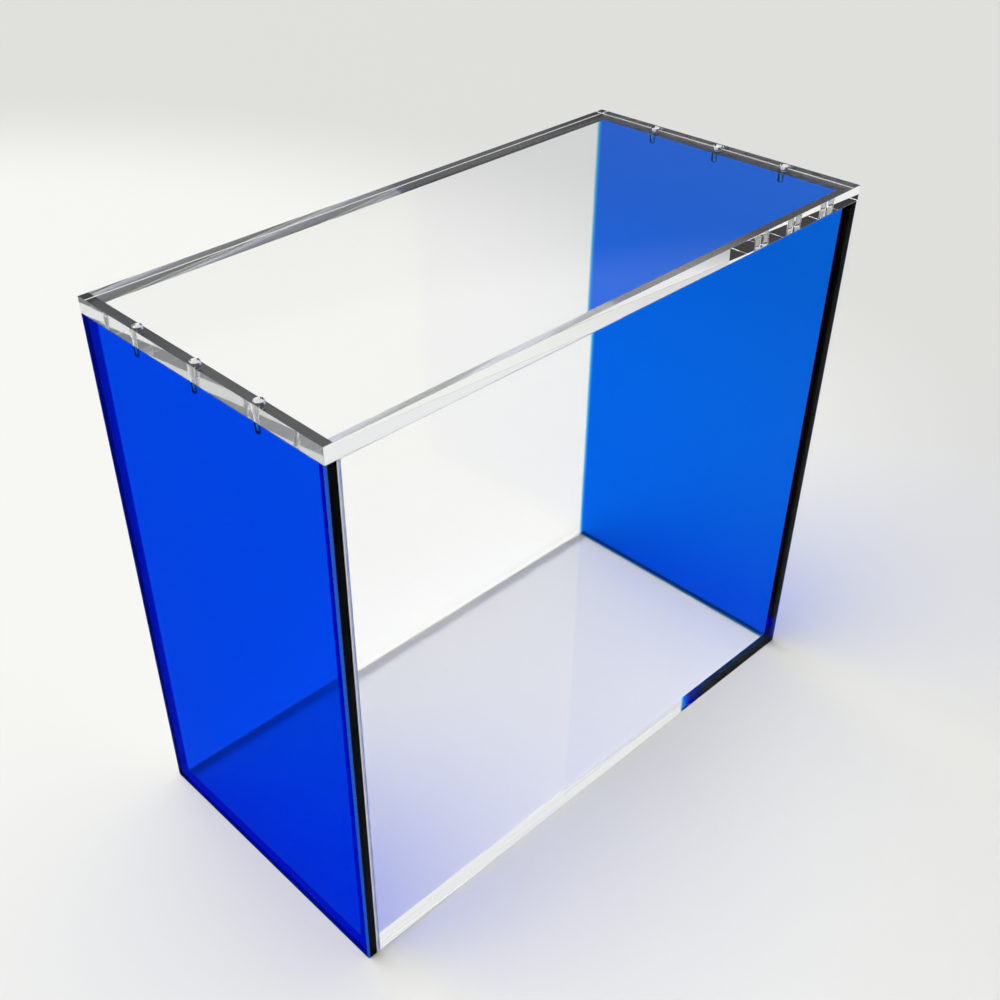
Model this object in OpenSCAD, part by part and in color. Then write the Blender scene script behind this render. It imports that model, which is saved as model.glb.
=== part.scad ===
// Display case of clear acrylic sheet with two blue end panels and a lid that is held by six small pins.
// The base, front and back panels are welded between the ends. The lid covers the whole footprint.
// Origin on the table at the centre of the footprint, +X to the right, +Y to the back, +Z up. Millimetres.

/* [Case] */
// Width over the outer faces of the end panels
case_w = 202; // [120:1:320]
// Depth over the outer faces of the front and back panels
case_d = 100; // [70:1:220]
// Height from the table to the top of the lid
case_h = 178; // [90:1:280]

/* [Sheets] */
// Thickness of the two blue end panels
end_t = 4.8; // [4.2:0.1:8]
// Thickness of the front and back panels
wall_t = 4.8; // [3:0.1:8]
// Thickness of the base panel
base_t = 4.8; // [3:0.1:8]
// Thickness of the lid panel
lid_t = 4.8; // [4:0.1:8]

/* [Lid pins] */
// Spacing of the three pins along each end
pin_pitch = 25; // [10:1:30]
// Distance of the pin axes from the end edges of the lid
pin_inset = 2; // [1.9:0.1:2.4]
// Diameter of the pin heads
head_d = 2.6; // [2.4:0.1:3]
// Height of the pin heads
head_h = 2.6; // [1.2:0.1:3]
// Chamfer round the rim of the pin heads
head_chamfer = 0.3; // [0.1:0.1:0.6]
// Depth of the pin heads below the top of the lid
head_sink = 0.3; // [0.1:0.1:0.8]
// Diameter of the pin shanks where they pass through the lid
shank_d = 1.7; // [1.3:0.1:1.9]
// Diameter of the pin tips
tip_d = 1; // [0.6:0.1:1.2]
// Reach of the pins into the top edges of the end panels
pin_reach = 2.6; // [1.5:0.1:8]

/* [Fits] */
// Clearance all round the pins in their holes
pin_clear = 0.1; // [0.05:0.01:0.15]
// Room under the pin tips in the blind holes
tip_room = 0.4; // [0.2:0.1:2]
// Full angle of the drill point at the bottom of the blind holes
drill_point = 118; // [90:1:140]

/* [Hidden] */
$fn = 48;

// Sides of the case and places along its ends, as signs of X and Y
left = -1;
right = 1;
front = -1;
middle = 0;
back = 1;

// Lengths that the sheets leave between each other
inner_w = case_w - 2 * end_t;
end_h = case_h - lid_t;
wall_h = end_h - base_t;

// Pin places and holes
pin_x = case_w / 2 - pin_inset;
head_top = case_h - head_sink;
head_seat = head_top - head_h;
tip_z = end_h - pin_reach;
hole_d = shank_d + 2 * pin_clear;
counterbore_d = head_d + 2 * pin_clear;
blind_z = tip_z - tip_room;
drill_h = hole_d / 2 / tan(drill_point / 2);

// Overshoot of a cut past the face that it opens
cut = 1;

clear_sheet = [0.88, 0.92, 0.95, 0.35];
blue_sheet = [0, 0.24, 0.85, 0.75];
clear_pin = [0.95, 0.96, 0.96, 0.7];

// A sheet centred on X and Y with its underside at the height z
module sheet(size, z) {
    translate([-size.x / 2, -size.y / 2, z])
        cube(size);
}

// Stands its children on the three pin axes of one end
module at_pins(side) {
    for (row = [front, middle, back])
        translate([side * pin_x, row * pin_pitch, 0])
            children();
}

// Hole for one pin through the lid, with the counterbore that hides its head
module lid_hole() {
    translate([0, 0, end_h - cut])
        cylinder(d = hole_d, h = lid_t + 2 * cut);
    translate([0, 0, head_seat])
        cylinder(d = counterbore_d, h = head_h + head_sink + cut);
}

// Blind hole for one pin in the top edge of an end panel, with its drill point
module end_hole() {
    translate([0, 0, blind_z])
        cylinder(d = hole_d, h = end_h - blind_z + cut);
    translate([0, 0, blind_z - drill_h])
        cylinder(d1 = 0, d2 = hole_d, h = drill_h);
}

module base_panel() {
    color(clear_sheet)
        sheet([inner_w, case_d, base_t], 0);
}

// Front or back panel, flush with the edge of the base
module wall_panel(face) {
    color(clear_sheet)
        translate([0, face * (case_d - wall_t) / 2, 0])
            sheet([inner_w, wall_t, wall_h], base_t);
}

module end_panel(side) {
    color(blue_sheet)
        difference() {
            translate([side * (case_w - end_t) / 2, 0, 0])
                sheet([end_t, case_d, end_h], 0);
            at_pins(side)
                end_hole();
        }
}

module lid_panel() {
    color(clear_sheet)
        difference() {
            sheet([case_w, case_d, lid_t], end_h);
            at_pins(left)
                lid_hole();
            at_pins(right)
                lid_hole();
        }
}

// One headed pin: straight through the lid, tapered in the end panel
module lid_pin(side, row) {
    color(clear_pin)
        translate([side * pin_x, row * pin_pitch, 0])
            rotate_extrude()
                polygon([
                    [0, tip_z],
                    [tip_d / 2, tip_z],
                    [shank_d / 2, end_h],
                    [shank_d / 2, head_seat],
                    [head_d / 2, head_seat],
                    [head_d / 2, head_top - head_chamfer],
                    [head_d / 2 - head_chamfer, head_top],
                    [0, head_top]
                ]);
}

base_panel();
wall_panel(front);  // front_panel
wall_panel(back);  // back_panel
end_panel(left);  // left_end_panel
end_panel(right);  // right_end_panel
lid_panel();
lid_pin(left, front);  // lid_pin_left_front
lid_pin(left, middle);  // lid_pin_left_middle
lid_pin(left, back);  // lid_pin_left_back
lid_pin(right, front);  // lid_pin_right_front
lid_pin(right, middle);  // lid_pin_right_middle
lid_pin(right, back);  // lid_pin_right_back
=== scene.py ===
"""Clear acrylic display case with blue ends and a pegged lift-off lid."""
from math import radians

import bpy
from mathutils import Euler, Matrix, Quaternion, Vector


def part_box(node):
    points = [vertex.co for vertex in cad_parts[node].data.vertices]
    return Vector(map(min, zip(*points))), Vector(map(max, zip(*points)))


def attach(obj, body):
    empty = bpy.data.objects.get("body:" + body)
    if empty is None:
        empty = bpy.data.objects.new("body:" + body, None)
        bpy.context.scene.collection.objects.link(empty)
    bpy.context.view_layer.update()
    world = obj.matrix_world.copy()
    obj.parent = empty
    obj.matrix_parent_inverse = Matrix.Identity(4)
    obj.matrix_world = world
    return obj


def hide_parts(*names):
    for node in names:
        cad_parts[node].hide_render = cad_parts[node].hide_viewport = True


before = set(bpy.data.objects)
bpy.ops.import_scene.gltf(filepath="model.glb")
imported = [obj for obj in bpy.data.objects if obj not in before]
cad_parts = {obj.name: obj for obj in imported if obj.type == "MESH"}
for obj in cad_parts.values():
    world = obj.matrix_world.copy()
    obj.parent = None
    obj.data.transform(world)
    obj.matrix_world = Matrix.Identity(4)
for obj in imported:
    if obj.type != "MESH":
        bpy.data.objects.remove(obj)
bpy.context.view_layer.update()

MM = 0.001
ENDS = ("left", "right")
ROWS = ("front", "middle", "back")

# Cemented joints: each clear sheet runs this far into the sheet that it is cemented to
WELD = 0.03 * MM
# The cement did not run into the joints at the left end, which stayed this far open
DRY_GAP = 0.02 * MM
# A cemented sheet stands this much behind the face that it is flush with
FLUSH = 0.01 * MM
# The loose lid rides this far above the walls
LID_GAP = 0.18 * MM

# Free arrises of the sheets, barely eased after polishing
ARRIS = 0.05 * MM
ARRIS_SEGMENTS = 3
# Outer upright edges at the front of the ends, scraped a little rounder
FRONT_ARRIS = 0.6 * MM
# Inner upright edges of the ends are round at the front, and cement fills the groove beside them
JOINT_ROUND = 1.7 * MM
JOINT_SEGMENTS = 6
SMOOTH_ANGLE = radians(12)

# Lid pegs, turned from clear rod
HEAD_R = 1.3 * MM
HEAD_H = 2.6 * MM
HEAD_ROUND = 0.35 * MM
SHANK_R = 0.85 * MM
TIP_R = 0.5 * MM
TIP_ROUND = 0.15 * MM
# The middle of a quarter round lies this share of its radius in from the corner
ROUND_MIDDLE = 0.3

# Holes for the pegs, which run a little deeper than the pegs and end in the drill's point
HOLE_R = 0.95 * MM
HOLE_SPARE = 0.4 * MM
HOLE_POINT = 0.5 * MM
HOLE_POINT_R = 0.02 * MM
COUNTERBORE_R = 1.4 * MM
COUNTERBORE_DEPTH = 2.9 * MM
ROUND_SIDES = 48
# A face belongs to a hole when it is this near to the hole's axis
HOLE_REACH = COUNTERBORE_R * 1.02
# Cutters run this far past the sheet
OVERCUT = 1.0 * MM

# A face or edge counts as lying one way when this much of its direction does
MOSTLY = 0.9
NEARLY = 0.95
SQUARELY = 0.99
# It leans that way at all above this much, and a face is upright when its normal rises less than this
SLIGHTLY = 0.05
UPRIGHT_RISE = 0.1

# How matte faces are: 0 is polished
MATTE_SAWN = 1.0
MATTE_DRILLED = 0.5
MATTE_REAMED = 0.12
MATTE_SCRAPED = 0.4
MATTE_LID_END = 0.05

# How fast a face's mirror image thins out towards straight on: 1 as in a plain sheet, 0 not at all
GLARE_FULL = 0.0
GLARE_CEMENT = 0.3
GLARE_BASE_TOP = 1.0
GLARE_BASE = 2.5
GLARE_WALL_TOP = 0.6
GLARE_BACK_WALL = 1.3
GLARE_WALL = 3.0
GLARE_END_TOP = 0.05
GLARE_END_BROAD = 3.5
GLARE_END_EDGE = 1.9
GLARE_LID = 1.7
GLARE_LID_EDGE = 2.5

# Mirror tints of the blue faces
WHITE = (1.0, 1.0, 1.0, 1.0)
DIM = (0.11, 0.115, 0.12, 1.0)
SAWN = (0.35, 0.40, 0.45, 1.0)
SCRAPED_BLUE = (0.02, 0.11, 0.55, 1.0)

# Painted shadow: shares of the room's light that the front and the left end keep off the floor before
# them, dimming only the light on its way to the floor
FRONT_PAINTED_SHADOW = 0.36
LEFT_PAINTED_SHADOW = 0.45
# The front's painted shadow fades out this far from the middle of its foot
SHADOW_FOOT = (0.025, -0.05, 0.01)
SHADOW_REACH = 0.13

# Acrylic sheet: its bend of light, the grain of its matte faces and the swell of its polished ones
ACRYLIC_IOR = 1.49
GRAIN_SCALE = 900.0
SWELL_SCALE = 28.0
SWELL_STRENGTH = 0.02
# The faint grey of clear sheet along its length
CLEAR_TINT = (0.955, 0.962, 0.965, 1.0)
CLEAR_DENSITY = 15.0
# The dye of the blue sheets: the two ends let through different shares of green
DYE_GREEN = {"left": 0.62, "right": 0.70}
DYE_BLUE = 0.98
DYE_DENSITY = 1200.0
# Turned rod: its colour, how clear it is, and its fine rings from smooth to rough
ROD_COLOUR = (0.97, 0.97, 0.97, 1.0)
ROD_CLARITY = 0.55
RING_SCALE = 1500.0
RING_DISTORTION = 1.5
RING_ROUGHNESS = (0.15, 0.4)

# The case stands this far above the drawn floor
FLOOR_GAP = 0.2 * MM
FLOOR_SIZE = 8
# Painted pool of light: the floor's colour is lighter round this spot, where more light would fall.
# Each tone has its share of the way in from the reach
PAINTED_LIGHT_SPOT = (-0.245, 0.30, 0)
PAINTED_LIGHT_REACH = 1.35
FLOOR_PAINTED_DIM = (0.50, (0.575, 0.575, 0.555, 1))
FLOOR_PAINTED_LIT = (0.66, (0.72, 0.72, 0.69, 1))

# Light levels of the room by height: 0 at the horizon, 1 overhead
SKY = ((0.0, 0.014), (0.29, 0.014), (0.33, 0.2), (0.445, 0.25), (0.470, 0.88), (0.80, 0.88), (1.0, 1.0))
# A pale screen stands all round, up to this height
SCREEN_LEVEL = 0.72
SCREEN_TOP = 0.285
SCREEN_FADE = 0.02
# The dark band above it stands higher on the window's side of the room
WINDOW_SIDE = (-0.85, 0.5, 0.0)
BAND_RISE = 0.15
# A broad window high at the back left with a soft rim, and a dimmer front
WINDOW = (-0.39, 0.505, 0.77)
WINDOW_RIM = (0.75, 0.85)
WINDOW_LEVEL = 4.05
FRONT_FADE = (-1.0, 0.3)
FRONT_LEVEL = 0.28

# The camera: lens in millimetres, picture shift, place, and angles in degrees
LENS = 44.33
SHIFT = (0.065, 0.0417)
CAMERA_PLACE = (-0.22759, -0.22514, 0.31533)
CAMERA_DOWN = 37.095
CAMERA_TURN = -41.871
CAMERA_ROLL = -1.531


# Modelling


def deselect():
    bpy.ops.object.select_all(action="DESELECT")


def pick(piece):
    """Selects one piece alone."""
    deselect()
    piece.select_set(True)
    bpy.context.view_layer.objects.active = piece


def edit(piece):
    """Opens one piece in edit mode with nothing selected."""
    pick(piece)
    bpy.ops.object.mode_set(mode="EDIT")
    bpy.ops.mesh.select_all(action="DESELECT")


def leave_edit():
    bpy.ops.object.mode_set(mode="OBJECT")


def settle(piece, name):
    """Names the selected piece and puts its place and size into its mesh."""
    piece.name = name
    piece.data.name = name
    bpy.ops.object.transform_apply(location=True, rotation=True, scale=True)
    return piece


def box_of(node):
    """The lowest and the highest corner of a CAD node."""
    low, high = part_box(node)
    return Vector(low), Vector(high)


def cut_sheet(name, low, high):
    """Cuts a block of sheet that fills the box between two corners."""
    deselect()
    centre = (low + high) / 2
    bpy.ops.mesh.primitive_cube_add(size=1, location=centre, scale=high - low)
    return settle(bpy.context.object, name)


def ease_arrises(piece, wanted, width=ARRIS, segments=ARRIS_SEGMENTS):
    """Rounds the edges that wanted(middle, direction) asks for."""
    edit(piece)
    bpy.ops.mesh.select_mode(type="EDGE")
    leave_edit()
    corners = piece.data.vertices
    for edge in piece.data.edges:
        start, end = (corners[index].co for index in edge.vertices)
        edge.select = wanted((start + end) / 2, (end - start).normalized())
    bpy.ops.object.mode_set(mode="EDIT")
    bpy.ops.mesh.bevel(offset=width, segments=segments, profile=0.5, affect="EDGES")
    leave_edit()


def turn(name, axis, profile):
    """Turns a closed round solid from (radius, height) steps, lowest first."""
    deselect()
    radius, height = profile[0]
    bpy.ops.mesh.primitive_circle_add(vertices=ROUND_SIDES, radius=radius, fill_type="NGON",
                                      location=(axis.x, axis.y, height))
    piece = settle(bpy.context.object, name)
    edit(piece)
    bpy.ops.mesh.select_all(action="SELECT")
    for next_r, next_z in profile[1:]:
        bpy.ops.mesh.extrude_region_move(TRANSFORM_OT_translate={"value": (0, 0, next_z - height)})
        if next_r != radius:
            bpy.ops.transform.resize(value=(next_r / radius, next_r / radius, 1),
                                     center_override=(axis.x, axis.y, next_z))
        radius, height = next_r, next_z
    bpy.ops.mesh.select_all(action="SELECT")
    bpy.ops.mesh.normals_make_consistent(inside=False)
    leave_edit()
    return piece


def drill(piece, drill_bit):
    """Takes a drill bit's shape out of a sheet."""
    pick(piece)
    hole = piece.modifiers.new("hole", "BOOLEAN")
    hole.operation = "DIFFERENCE"
    hole.solver = "EXACT"
    hole.object = drill_bit
    bpy.ops.object.modifier_apply(modifier=hole.name)
    bpy.data.objects.remove(drill_bit, do_unlink=True)


def mark(piece, name, value):
    """Writes value(face) on every face of a piece, for its material to read."""
    marks = piece.data.attributes.new(name, "FLOAT", "FACE")
    for face in piece.data.polygons:
        marks.data[face.index].value = value(face)


def tint(piece, name, colour):
    """Writes colour(face) on every face of a piece."""
    tints = piece.data.attributes.new(name, "FLOAT_COLOR", "FACE")
    for face in piece.data.polygons:
        tints.data[face.index].color = colour(face)


def smooth(piece):
    """Shades the round stretches smooth and leaves the broad faces flat."""
    pick(piece)
    bpy.ops.object.shade_smooth_by_angle(angle=SMOOTH_ANGLE)
    flatten = piece.modifiers.new("flat_faces", "WEIGHTED_NORMAL")
    flatten.keep_sharp = True
    bpy.ops.object.modifier_apply(modifier=flatten.name)


def dress(piece, body, node, material):
    """Gives a finished piece its material, and its place in the part."""
    piece.data.materials.clear()
    piece.data.materials.append(material)
    smooth(piece)
    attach(piece, body)
    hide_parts(node)


# Materials


def new_material(name):
    material = bpy.data.materials.new(name)
    material.use_nodes = True
    nodes = material.node_tree.nodes
    return material, nodes, material.node_tree.links, nodes["Principled BSDF"]


def read_mark(nodes, name):
    """A node that reads a mark of the faces, and is named after it."""
    reader = nodes.new("ShaderNodeAttribute")
    reader.name = name
    reader.attribute_name = name
    return reader


def combine(nodes, links, operation, first, second):
    """A Math node of two other nodes' values."""
    result = nodes.new("ShaderNodeMath")
    result.operation = operation
    links.new(first, result.inputs[0])
    links.new(second, result.inputs[1])
    return result


def round_spot(nodes, links, place, middle, reach):
    """A value that fades from 1 at a spot to 0 at its reach."""
    around = nodes.new("ShaderNodeMapping")
    around.vector_type = "TEXTURE"
    around.inputs["Location"].default_value = middle
    around.inputs["Scale"].default_value = (reach, reach, reach)
    links.new(place.outputs["Object"], around.inputs["Vector"])
    fade = nodes.new("ShaderNodeTexGradient")
    fade.gradient_type = "SPHERICAL"
    links.new(around.outputs["Vector"], fade.inputs["Vector"])
    return fade.outputs["Fac"]


def acrylic(name):
    """Polished sheet: light bends through it, and its faces mirror more towards grazing.

    Faces marked matte are sawn or drilled and stay frosted. A face marked with a glare
    above 1 thins its mirror image where it is seen straight on. A face marked for a shadow
    keeps that share of the room's light off the floor before it, as a painted soft shadow:
    the face dims only the light on its way to the floor.
    """
    material, nodes, links, principled = new_material(name)
    nodes.remove(principled)
    place = nodes.new("ShaderNodeTexCoord")
    matte = read_mark(nodes, "matte")
    glare = read_mark(nodes, "glare")
    painted_shadow = read_mark(nodes, "painted_shadow")
    bubbles = nodes.new("ShaderNodeTexNoise")
    bubbles.inputs["Scale"].default_value = GRAIN_SCALE
    bubbles.inputs["Detail"].default_value = 2.0
    links.new(place.outputs["Object"], bubbles.inputs["Vector"])
    grain = nodes.new("ShaderNodeMapRange")
    grain.inputs["From Min"].default_value = 0.35
    grain.inputs["From Max"].default_value = 0.65
    grain.inputs["To Min"].default_value = 0.6
    grain.inputs["To Max"].default_value = 1.0
    links.new(bubbles.outputs["Fac"], grain.inputs["Value"])
    frost = combine(nodes, links, "MULTIPLY", matte.outputs["Fac"], grain.outputs["Result"])
    waves = nodes.new("ShaderNodeTexNoise")
    waves.inputs["Scale"].default_value = SWELL_SCALE
    waves.inputs["Detail"].default_value = 1.0
    links.new(place.outputs["Object"], waves.inputs["Vector"])
    swell = nodes.new("ShaderNodeBump")
    swell.inputs["Strength"].default_value = SWELL_STRENGTH
    swell.inputs["Distance"].default_value = MM
    links.new(waves.outputs["Fac"], swell.inputs["Height"])
    # Painted shadow: only diffuse rays, the light on its way to the floor, pass the face dimmed by its
    # shadow mark
    path = nodes.new("ShaderNodeLightPath")
    lost = combine(nodes, links, "MULTIPLY", painted_shadow.outputs["Fac"], path.outputs["Is Diffuse Ray"])
    lost.name = "lost_light"
    passed = nodes.new("ShaderNodeMath")
    passed.operation = "SUBTRACT"
    passed.inputs[0].default_value = 1.0
    links.new(lost.outputs["Value"], passed.inputs[1])
    bend = nodes.new("ShaderNodeBsdfRefraction")
    bend.inputs["IOR"].default_value = ACRYLIC_IOR
    links.new(passed.outputs["Value"], bend.inputs["Color"])
    shine = nodes.new("ShaderNodeBsdfGlossy")
    shine.name = "shine"
    shine.inputs["Color"].default_value = WHITE
    for shader in (bend, shine):
        links.new(frost.outputs["Value"], shader.inputs["Roughness"])
        links.new(swell.outputs["Normal"], shader.inputs["Normal"])
    fresnel = nodes.new("ShaderNodeFresnel")
    fresnel.inputs["IOR"].default_value = ACRYLIC_IOR
    links.new(swell.outputs["Normal"], fresnel.inputs["Normal"])
    thin = combine(nodes, links, "POWER", fresnel.outputs["Fac"], glare.outputs["Fac"])
    face = nodes.new("ShaderNodeMixShader")
    links.new(thin.outputs["Value"], face.inputs["Fac"])
    links.new(bend.outputs["BSDF"], face.inputs[1])
    links.new(shine.outputs["BSDF"], face.inputs[2])
    links.new(face.outputs["Shader"], nodes["Material Output"].inputs["Surface"])
    return material


def dye_through(material, colour, density):
    """Dyes a sheet all through, so that it darkens with its depth."""
    nodes, links = material.node_tree.nodes, material.node_tree.links
    dye = nodes.new("ShaderNodeVolumeAbsorption")
    dye.inputs["Color"].default_value = colour
    dye.inputs["Density"].default_value = density
    links.new(dye.outputs["Volume"], nodes["Material Output"].inputs["Volume"])


def clear_acrylic():
    """Clear sheet, a little grey along its length. The front's shadow is deepest at its foot."""
    material = acrylic("clear_acrylic")
    nodes, links = material.node_tree.nodes, material.node_tree.links
    # The front's painted shadow is shaped as a round spot at its foot
    foot = round_spot(nodes, links, nodes["Texture Coordinate"], SHADOW_FOOT, SHADOW_REACH)
    shade = combine(nodes, links, "MULTIPLY", nodes["painted_shadow"].outputs["Fac"], foot)
    links.new(shade.outputs["Value"], nodes["lost_light"].inputs[0])
    dye_through(material, CLEAR_TINT, CLEAR_DENSITY)
    return material


def blue_acrylic(name, green):
    """Blue sheet. The left end's dye lets through a smaller share of green than the right end's, so it
    is a little deeper.

    A face has one mirror tint on its outside and another on its inside, where the dye
    takes most of the light that runs along the sheet.
    """
    material = acrylic(name)
    nodes, links = material.node_tree.nodes, material.node_tree.links
    outside = read_mark(nodes, "outer_mirror")
    inside = read_mark(nodes, "inner_mirror")
    side = nodes.new("ShaderNodeNewGeometry")
    mirror = nodes.new("ShaderNodeMixRGB")
    links.new(side.outputs["Backfacing"], mirror.inputs["Fac"])
    links.new(outside.outputs["Color"], mirror.inputs["Color1"])
    links.new(inside.outputs["Color"], mirror.inputs["Color2"])
    links.new(mirror.outputs["Color"], nodes["shine"].inputs["Color"])
    dye_through(material, (0.0, green, DYE_BLUE, 1.0), DYE_DENSITY)
    return material


def turned_peg():
    """Clear rod left as turned: cloudy, with fine rings round it."""
    material, nodes, links, shader = new_material("turned_peg")
    shader.inputs["Base Color"].default_value = ROD_COLOUR
    shader.inputs["Transmission Weight"].default_value = ROD_CLARITY
    shader.inputs["IOR"].default_value = ACRYLIC_IOR
    place = nodes.new("ShaderNodeTexCoord")
    rings = nodes.new("ShaderNodeTexWave")
    rings.bands_direction = "Z"
    rings.inputs["Scale"].default_value = RING_SCALE
    rings.inputs["Distortion"].default_value = RING_DISTORTION
    links.new(place.outputs["Object"], rings.inputs["Vector"])
    cloud = nodes.new("ShaderNodeMapRange")
    cloud.inputs["To Min"].default_value = RING_ROUGHNESS[0]
    cloud.inputs["To Max"].default_value = RING_ROUGHNESS[1]
    links.new(rings.outputs["Fac"], cloud.inputs["Value"])
    links.new(cloud.outputs["Result"], shader.inputs["Roughness"])
    return material


clear = clear_acrylic()
blue = {
    "left": blue_acrylic("deep_blue_acrylic", DYE_GREEN["left"]),
    "right": blue_acrylic("blue_acrylic", DYE_GREEN["right"]),
}
rod = turned_peg()


# Pieces of the case

base_low, base_high = box_of("base_panel")
lid_low, lid_high = box_of("lid_panel")
end_inner = box_of("right_end_panel")[0].x
end_outer = box_of("right_end_panel")[1].x


def peg_axis(side, row):
    low, high = box_of(f"lid_pin_{side}_{row}")
    return (low + high) / 2


def in_a_hole(face, axes):
    return any((face.center.xy - axis.xy).length < HOLE_REACH for axis in axes)


def faces_up(face):
    return face.normal.z > MOSTLY


def front_upright(middle, run):
    return abs(run.z) > MOSTLY and middle.y < 0


def inner_upright(middle, run):
    return front_upright(middle, run) and abs(middle.x) < (end_inner + end_outer) / 2


def outer_upright(middle, run):
    return front_upright(middle, run) and not inner_upright(middle, run)


def end_blank(side):
    """The space that an end takes up, with its joint, for cutting the clear sheets to fit."""
    low, high = box_of(f"{side}_end_panel")
    shift = Vector((WELD if side == "right" else DRY_GAP, 0, 0))
    longer = Vector((0, 0, OVERCUT))
    blank = cut_sheet("end_blank", low + shift - longer, high + shift + longer)
    ease_arrises(blank, inner_upright, JOINT_ROUND, JOINT_SEGMENTS)
    return blank


def fit_between_ends(name, low, high, free_arris, glare):
    """Cuts a clear sheet to fit between the ends, with cement out into their round grooves.

    In the open joints at the left the sawn ends stay matte and the cement is cloudy.
    """
    groove = Vector((JOINT_ROUND, 0, 0))
    sheet = cut_sheet(name, low - groove, high + groove)
    ease_arrises(sheet, lambda middle, run: abs(run.x) > MOSTLY and free_arris(middle))
    for side in ENDS:
        drill(sheet, end_blank(side))

    def in_left_joint(face):
        return face.normal.x < -SLIGHTLY

    def cloudy(face):
        if face.normal.x < -NEARLY:
            return GLARE_CEMENT
        return GLARE_FULL if in_left_joint(face) else glare(face)

    mark(sheet, "matte", lambda face: MATTE_SAWN if in_left_joint(face) else 0.0)
    mark(sheet, "glare", cloudy)
    return sheet


# Painted shadow: the front's outer faces dim the light that reaches the floor before them
def front_painted_shadow(face):
    return FRONT_PAINTED_SHADOW if face.normal.y < -MOSTLY else 0.0


def make_base():
    inset = Vector((0, FLUSH, 0))
    base = fit_between_ends("base_sheet", base_low + inset, base_high - inset,
                            lambda middle: middle.z < base_low.z + ARRIS,
                            lambda face: GLARE_BASE_TOP if faces_up(face) else GLARE_BASE)
    mark(base, "painted_shadow", front_painted_shadow)
    dress(base, "case", "base_panel", clear)


def make_wall(wall_name):
    low, high = box_of(f"{wall_name}_panel")
    inset = Vector((0, FLUSH, 0))
    sunk = Vector((0, 0, WELD))

    def glare(face):
        if faces_up(face):
            return GLARE_WALL_TOP
        back_face = wall_name == "back" and abs(face.normal.y) > MOSTLY
        return GLARE_BACK_WALL if back_face else GLARE_WALL

    wall = fit_between_ends(f"{wall_name}_sheet", low + inset - sunk, high - inset,
                            lambda middle: middle.z > high.z - ARRIS, glare)
    if wall_name == "front":
        mark(wall, "painted_shadow", front_painted_shadow)
    dress(wall, "case", f"{wall_name}_panel", clear)


def make_end(side):
    low, high = box_of(f"{side}_end_panel")
    end = cut_sheet(f"{side}_end_sheet", low, high)

    def free_arris(middle, run):
        if middle.z > high.z - ARRIS:
            return True
        outside = abs(middle.x) > end_outer - ARRIS
        return outside and (middle.z < low.z + ARRIS or middle.y > high.y - ARRIS)

    ease_arrises(end, inner_upright, JOINT_ROUND, JOINT_SEGMENTS)
    ease_arrises(end, outer_upright, FRONT_ARRIS)
    ease_arrises(end, free_arris)
    axes = [peg_axis(side, row) for row in ROWS]
    bottom = box_of(f"lid_pin_{side}_front")[0].z - HOLE_SPARE
    hole = [(HOLE_POINT_R, bottom - HOLE_POINT), (HOLE_R, bottom), (HOLE_R, high.z + OVERCUT)]
    for axis in axes:
        drill(end, turn("drill_bit", axis, hole))

    def broad(face):
        return abs(face.normal.x) > SQUARELY

    def scraped(face):
        beside_edge = abs(face.center.x) > end_outer - FRONT_ARRIS
        upright = abs(face.normal.z) < UPRIGHT_RISE
        slanted = abs(face.normal.x) < SQUARELY and abs(face.normal.y) < SQUARELY
        return beside_edge and upright and slanted

    def matte(face):
        if in_a_hole(face, axes) or faces_up(face):
            return MATTE_DRILLED
        return MATTE_SCRAPED if scraped(face) else 0.0

    def glare(face):
        if faces_up(face):
            return GLARE_END_TOP
        if scraped(face):
            return GLARE_FULL
        return GLARE_END_BROAD if broad(face) else GLARE_END_EDGE

    # Painted shadow: the left end's outer face dims the light that reaches the floor beside it
    def painted_shadow(face):
        return LEFT_PAINTED_SHADOW if side == "left" and face.normal.x < -SQUARELY else 0.0

    def outer_mirror(face):
        if scraped(face):
            return SCRAPED_BLUE
        return WHITE if broad(face) or abs(face.normal.y) > SQUARELY else DIM

    def inner_mirror(face):
        if face.normal.y > MOSTLY or face.normal.z < -MOSTLY:
            return SAWN
        return SCRAPED_BLUE if scraped(face) else DIM

    mark(end, "matte", matte)
    mark(end, "glare", glare)
    mark(end, "painted_shadow", painted_shadow)
    tint(end, "outer_mirror", outer_mirror)
    tint(end, "inner_mirror", inner_mirror)
    dress(end, "case", f"{side}_end_panel", blue[side])


def make_lid():
    lid = cut_sheet("lid_sheet", lid_low + Vector((0, 0, LID_GAP)), lid_high)
    ease_arrises(lid, lambda middle, run: True)
    axes = [peg_axis(side, row) for side in ENDS for row in ROWS]
    seat = lid_high.z - COUNTERBORE_DEPTH
    hole = [
        (HOLE_R, lid_low.z - OVERCUT),
        (HOLE_R, seat),
        (COUNTERBORE_R, seat),
        (COUNTERBORE_R, lid_high.z + OVERCUT),
    ]
    for axis in axes:
        drill(lid, turn("drill_bit", axis, hole))

    def matte(face):
        if in_a_hole(face, axes):
            return MATTE_REAMED
        return MATTE_LID_END if face.normal.x < -MOSTLY else 0.0

    mark(lid, "matte", matte)
    mark(lid, "glare", lambda face: GLARE_LID if abs(face.normal.z) > MOSTLY else GLARE_LID_EDGE)
    dress(lid, "lid", "lid_panel", clear)


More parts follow.
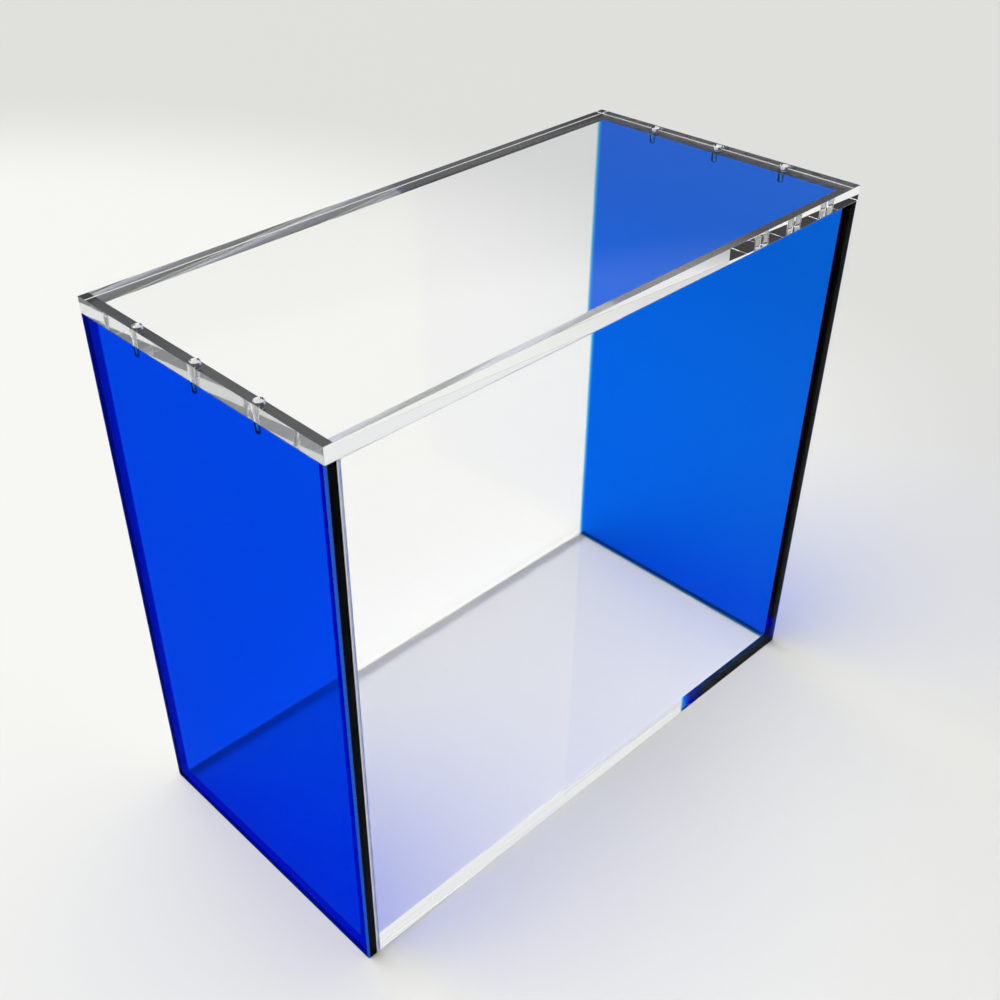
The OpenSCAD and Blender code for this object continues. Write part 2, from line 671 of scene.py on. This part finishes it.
def turn_peg():
    """Turns one peg on the case's upright axis, at its height in the lid."""
    low, high = box_of(f"lid_pin_{ENDS[0]}_{ROWS[0]}")
    seat = high.z - HEAD_H
    bevel = HEAD_ROUND * ROUND_MIDDLE
    steps = [
        (TIP_R - TIP_ROUND, low.z),
        (TIP_R, low.z + TIP_ROUND),
        (SHANK_R, lid_low.z),
        (SHANK_R, seat),
        (HEAD_R, seat),
        (HEAD_R, high.z - HEAD_ROUND),
        (HEAD_R - bevel, high.z - bevel),
        (HEAD_R - HEAD_ROUND, high.z),
    ]
    return turn("peg", Vector((0, 0, 0)), steps)


def make_pegs():
    """Copies one peg to each of its holes."""
    first = turn_peg()
    for side in ENDS:
        for row in ROWS:
            node = f"lid_pin_{side}_{row}"
            axis = peg_axis(side, row)
            peg = first.copy()
            peg.data = first.data.copy()
            bpy.context.collection.objects.link(peg)
            peg.location = (axis.x, axis.y, 0)
            pick(peg)
            settle(peg, f"peg_{side}_{row}")
            dress(peg, node, node, rod)
    bpy.data.objects.remove(first, do_unlink=True)


def make_case():
    make_base()
    make_wall("front")
    make_wall("back")
    for side in ENDS:
        make_end(side)
    make_lid()
    make_pegs()


# Floor, light and camera


def make_floor():
    deselect()
    bpy.ops.mesh.primitive_plane_add(size=FLOOR_SIZE, location=(0, 0, -FLOOR_GAP))
    floor = settle(bpy.context.object, "floor")
    material, nodes, links, shader = new_material("pale_floor")
    shader.inputs["Roughness"].default_value = 0.7
    shader.inputs["Specular IOR Level"].default_value = 0.2
    place = nodes.new("ShaderNodeTexCoord")
    # Painted pool of light: the floor's colour fades from the lit tone round the spot to the dim tone
    # further out
    near = round_spot(nodes, links, place, PAINTED_LIGHT_SPOT, PAINTED_LIGHT_REACH)
    tone = nodes.new("ShaderNodeValToRGB")
    tone.color_ramp.interpolation = "EASE"
    for stop, (position, colour) in zip(tone.color_ramp.elements, (FLOOR_PAINTED_DIM, FLOOR_PAINTED_LIT)):
        stop.position = position
        stop.color = colour
    links.new(near, tone.inputs["Fac"])
    links.new(tone.outputs["Color"], shader.inputs["Base Color"])
    floor.data.materials.append(material)


def make_light():
    """A pale room with a dark band above a screen, a broad window at the back left and a dim front.

    The camera itself sees the plain pale screen everywhere.
    """
    world = bpy.data.worlds.new("soft_room")
    bpy.context.scene.world = world
    world.use_nodes = True
    nodes, links = world.node_tree.nodes, world.node_tree.links
    place = nodes.new("ShaderNodeTexCoord")

    def along(direction):
        reach = nodes.new("ShaderNodeVectorMath")
        reach.operation = "DOT_PRODUCT"
        reach.inputs[1].default_value = direction
        links.new(place.outputs["Generated"], reach.inputs[0])
        return reach.outputs["Value"]

    def level(value, start, end, first, last):
        step = nodes.new("ShaderNodeMapRange")
        step.interpolation_type = "SMOOTHSTEP"
        step.inputs["From Min"].default_value = start
        step.inputs["From Max"].default_value = end
        step.inputs["To Min"].default_value = first
        step.inputs["To Max"].default_value = last
        links.new(value, step.inputs["Value"])
        return step.outputs["Result"]

    sky = nodes.new("ShaderNodeValToRGB")
    stops = sky.color_ramp.elements
    while len(stops) < len(SKY):
        stops.new(0.5)
    for stop, (height, brightness) in zip(stops, SKY):
        stop.position = height
        stop.color = (brightness, brightness, brightness, 1)
    links.new(along(Vector((0, 0, 1)) - BAND_RISE * Vector(WINDOW_SIDE)), sky.inputs["Fac"])
    window = level(along(WINDOW), *WINDOW_RIM, 1.0, WINDOW_LEVEL)
    front = level(along((0, 1, 0)), *FRONT_FADE, FRONT_LEVEL, 1.0)
    room = combine(nodes, links, "MULTIPLY", window, front)
    background = nodes["Background"]
    links.new(sky.outputs["Color"], background.inputs["Color"])
    links.new(room.outputs["Value"], background.inputs["Strength"])
    screen = nodes.new("ShaderNodeBackground")
    screen.inputs["Color"].default_value = (SCREEN_LEVEL, SCREEN_LEVEL, SCREEN_LEVEL, 1.0)
    path = nodes.new("ShaderNodeLightPath")
    below_top = level(along((0, 0, 1)), SCREEN_TOP, SCREEN_TOP + SCREEN_FADE, 1.0, 0.0)
    behind = combine(nodes, links, "MAXIMUM", below_top, path.outputs["Is Camera Ray"])
    surround = nodes.new("ShaderNodeMixShader")
    links.new(behind.outputs["Value"], surround.inputs["Fac"])
    links.new(background.outputs["Background"], surround.inputs[1])
    links.new(screen.outputs["Background"], surround.inputs[2])
    links.new(surround.outputs["Shader"], nodes["World Output"].inputs["Surface"])


def make_camera():
    data = bpy.data.cameras.new("camera")
    data.lens = LENS
    data.shift_x, data.shift_y = SHIFT
    camera = bpy.data.objects.new("camera", data)
    bpy.context.collection.objects.link(camera)
    camera.location = CAMERA_PLACE
    aim = Euler((radians(90 - CAMERA_DOWN), 0, radians(CAMERA_TURN))).to_quaternion()
    camera.rotation_mode = "QUATERNION"
    camera.rotation_quaternion = aim @ Quaternion((0, 0, 1), radians(CAMERA_ROLL))
    bpy.context.scene.camera = camera


make_camera()
make_floor()
make_light()
make_case()

# Light passes many faces of clear sheet before it leaves the case
scene = bpy.context.scene
scene.view_settings.view_transform = "Standard"
scene.cycles.max_bounces = 40
scene.cycles.transmission_bounces = 40
scene.cycles.glossy_bounces = 32
scene.cycles.diffuse_bounces = 6
scene.cycles.blur_glossy = 0.0
